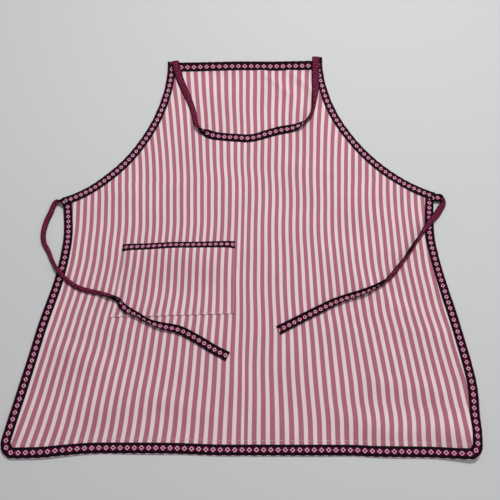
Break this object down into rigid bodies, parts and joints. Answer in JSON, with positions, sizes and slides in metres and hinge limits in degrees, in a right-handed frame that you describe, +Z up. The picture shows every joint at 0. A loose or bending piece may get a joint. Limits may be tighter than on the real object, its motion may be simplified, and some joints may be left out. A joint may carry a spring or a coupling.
{
  "type": "butcher apron",
  "caption": "Striped cotton bib apron edged with woven ribbon, with a ribbon neck strap, ribbon waist ties and a patch pocket, lying flat and face up.",
  "frame": {"origin": "on the surface that the apron lies on, under the middle of its outline", "axes": "+Z up out of the apron's face, +Y from the hem towards the bib, +X to the right of someone looking at its face"},
  "size_m": [0.7261, 0.734, 0.0141],
  "materials": {
    "striped_cotton": "pink and off-white woven stripe, cotton twill, matt",
    "woven_ribbon": "jacquard-woven ribbon, navy selvedges, burgundy middle with a row of pale pink diamonds, slight sheen",
    "dark_thread": "navy polyester sewing thread, slight sheen",
    "pale_thread": "off-white polyester sewing thread, slight sheen"
  },
  "bodies": {
    "apron": {"front_panel": "striped_cotton", "bib_top_trim": "woven_ribbon", "bib_trim_stitch_upper": "dark_thread", "bib_trim_stitch_lower": "dark_thread", "armhole_trim_left": "woven_ribbon", "armhole_stitch_left_outer": "dark_thread", "armhole_stitch_left_inner": "dark_thread", "armhole_trim_right": "woven_ribbon", "armhole_stitch_right_outer": "dark_thread", "armhole_stitch_right_inner": "dark_thread", "side_and_hem_trim": "woven_ribbon", "side_hem_stitch_outer": "dark_thread", "side_hem_stitch_inner": "dark_thread", "hem_top_stitch": "pale_thread", "pocket_panel": "striped_cotton", "pocket_trim": "woven_ribbon", "pocket_trim_stitch_upper": "dark_thread", "pocket_trim_stitch_lower": "dark_thread", "pocket_seam": "pale_thread"},
    "neck_loop": {"neck_strap": "woven_ribbon"},
    "left_tie": {"tie_left": "woven_ribbon", "tie_end_stitch_left": "dark_thread"},
    "right_tie": {"tie_right": "woven_ribbon", "tie_end_stitch_right": "dark_thread"}
  },
  "joints": [
    {"name": "neck_loop_swing", "type": "hinge", "parent": "apron", "child": "neck_loop", "pos_m": [0.004, 0.363, 0.0025], "axis": [-0.9993, -0.0362, 0], "range_deg": [0, 170]},
    {"name": "left_tie_swing", "type": "hinge", "parent": "apron", "child": "left_tie", "pos_m": [-0.3355, 0.056, 0.0025], "axis": [-0.7258, -0.6879, 0], "range_deg": [0, 170]},
    {"name": "right_tie_swing", "type": "hinge", "parent": "apron", "child": "right_tie", "pos_m": [0.363, 0.0525, 0.0025], "axis": [-0.44, 0.898, 0], "range_deg": [0, 170]}
  ]
}
